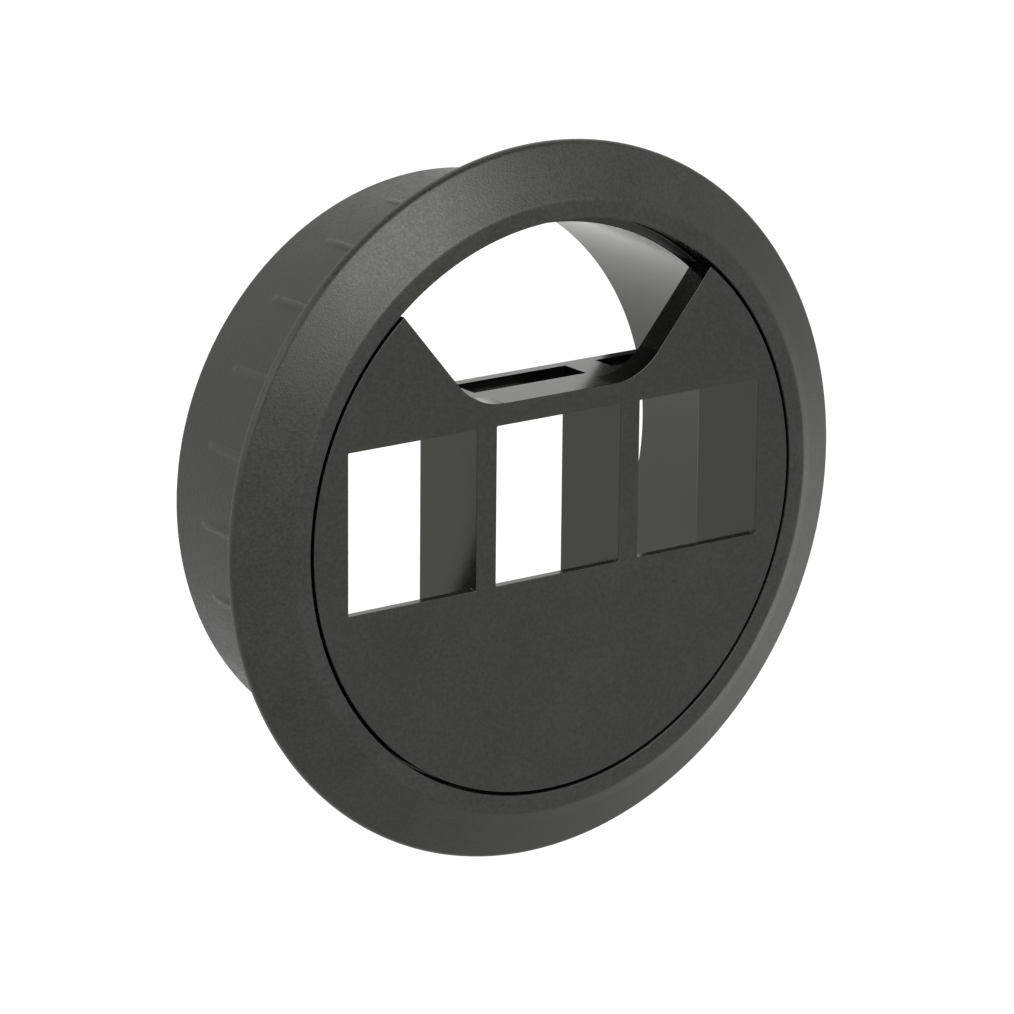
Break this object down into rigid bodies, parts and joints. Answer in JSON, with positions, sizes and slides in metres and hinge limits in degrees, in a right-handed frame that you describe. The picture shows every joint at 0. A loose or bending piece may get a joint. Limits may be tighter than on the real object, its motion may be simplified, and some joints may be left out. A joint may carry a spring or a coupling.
{
  "type": "desk grommet",
  "caption": "Round desk grommet: a flanged ring for a desk hole with a drop-in insert that has a cable outlet and snap-in jack ports.",
  "frame": {"origin": "centre of the desk hole, on the desk's surface, which is the plane of the flange's underside", "axes": "+Z out of the desk along the hole's axis, +Y across the face from the ports towards the cable outlet, +X completes the right-handed frame"},
  "size_m": [0.072, 0.072, 0.0225],
  "materials": {
    "ring_plastic": "fine spark-eroded grain, satin black",
    "insert_plastic": "smooth satin black"
  },
  "bodies": {
    "ring": {"grommet_ring": "ring_plastic"},
    "insert": {"keystone_insert": "insert_plastic"}
  },
  "joints": [
    {"name": "insert_lift", "type": "slide", "parent": "ring", "child": "insert", "axis": [0, 0, 1], "range_m": [0, 0.016]}
  ]
}
